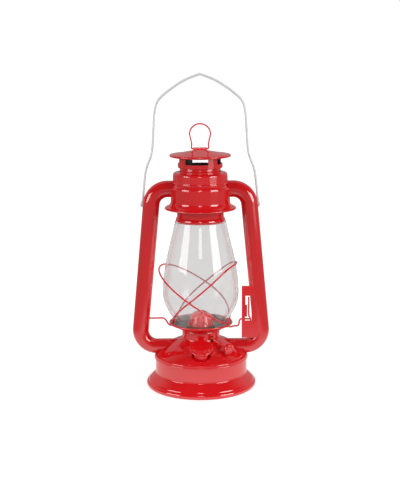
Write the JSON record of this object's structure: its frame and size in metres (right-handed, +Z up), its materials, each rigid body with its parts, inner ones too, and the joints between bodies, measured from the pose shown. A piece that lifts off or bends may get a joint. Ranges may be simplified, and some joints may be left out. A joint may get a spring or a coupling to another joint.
{
  "type": "hurricane lantern",
  "caption": "Cold-blast hurricane lantern: round fuel fount, hollow air tubes, glass globe in crossed guard wires, hood, lifting chimney, wick knob and swinging wire bail.",
  "frame": {"origin": "on the surface it stands on, under the lantern's axis at the middle of the foot's rim", "axes": "+Z up, X across the two air tubes with the lift bracket at +X, the filler cap's front at -Y"},
  "size_m": [0.162, 0.13, 0.3651],
  "materials": {
    "red_enamel": "gloss red enamel",
    "bare_sheet": "bare sheet steel",
    "burner_brass": "satin",
    "zinc_wire": "zinc-coated wire",
    "globe_glass": "clear",
    "wick_cotton": "woven cotton",
    "seal_rubber": "matte"
  },
  "bodies": {
    "frame": {"foot_ring": "red_enamel", "fount_wall": "red_enamel", "fount_floor": "bare_sheet", "fount_dome": "red_enamel", "air_pan": "bare_sheet", "burner_collar": "red_enamel", "filler_neck": "red_enamel", "left_tube": "red_enamel", "right_tube": "red_enamel", "bail_eyelets": "red_enamel", "lift_bracket": "red_enamel", "hood_lower": "red_enamel", "hood_upper": "red_enamel", "burner_cup": "burner_brass", "wick_tube": "burner_brass", "shaft_bush": "burner_brass", "burner_cone": "red_enamel", "chimney_spring": "zinc_wire"},
    "bail": {"bail": "zinc_wire"},
    "globe_carrier": {"globe_plate": "red_enamel", "guard_wire_left": "red_enamel", "guard_wire_right": "red_enamel", "globe": "globe_glass"},
    "chimney": {"globe_crown": "red_enamel", "chimney_tube": "red_enamel", "vent_band": "red_enamel", "cap": "red_enamel", "ring_strap": "red_enamel"},
    "ring": {"lift_ring": "red_enamel"},
    "adjuster": {"wick_shaft": "red_enamel", "wick_wheels": "burner_brass", "wick_knob": "red_enamel"},
    "wick_strip": {"wick": "wick_cotton"},
    "filler_washer": {"filler_seal": "seal_rubber"},
    "filler_screw": {"filler_cap": "red_enamel"}
  },
  "joints": [
    {"name": "bail_swing", "type": "hinge", "parent": "frame", "child": "bail", "pos_m": [0, 0, 0.21335], "axis": [1, 0, 0], "range_deg": [-130, 130]},
    {"name": "globe_lift", "type": "slide", "parent": "frame", "child": "globe_carrier", "axis": [0, 0, 1], "range_m": [0, 0.02], "deforming": ["chimney_spring"]},
    {"name": "chimney_lift", "type": "slide", "parent": "globe_carrier", "child": "chimney", "axis": [0, 0, 1], "range_m": [0, 0.016], "stiffness_N_per_m": 60, "springref_m": -0.015, "deforming": ["chimney_spring"]},
    {"name": "ring_fold", "type": "hinge", "parent": "chimney", "child": "ring", "pos_m": [0, 0, 0.27955], "axis": [1, 0, 0], "range_deg": [-90, 90]},
    {"name": "wick_turn", "type": "hinge", "parent": "frame", "child": "adjuster", "pos_m": [-0.00327, -0.00351, 0.06735], "axis": [0.6994, -0.6522, -0.2924], "range_deg": [-165, 165]},
    {"name": "wick_feed", "type": "slide", "parent": "frame", "child": "wick_strip", "axis": [0, 0, 1], "range_m": [-0.0098, 0.0098]},
    {"name": "filler_rise", "type": "slide", "parent": "frame", "child": "filler_washer", "axis": [0, -0.3584, 0.9336], "range_m": [0, 0.003]},
    {"name": "filler_turn", "type": "hinge", "parent": "filler_washer", "child": "filler_screw", "pos_m": [0, -0.041, 0.04862], "axis": [0, -0.3584, 0.9336], "range_deg": [0, 540]}
  ],
  "couplings": [
    {"joint": "wick_feed", "follows": "wick_turn", "m_per_rad": 0.0034},
    {"joint": "filler_rise", "follows": "filler_turn", "m_per_rad": 0.00031831}
  ]
}
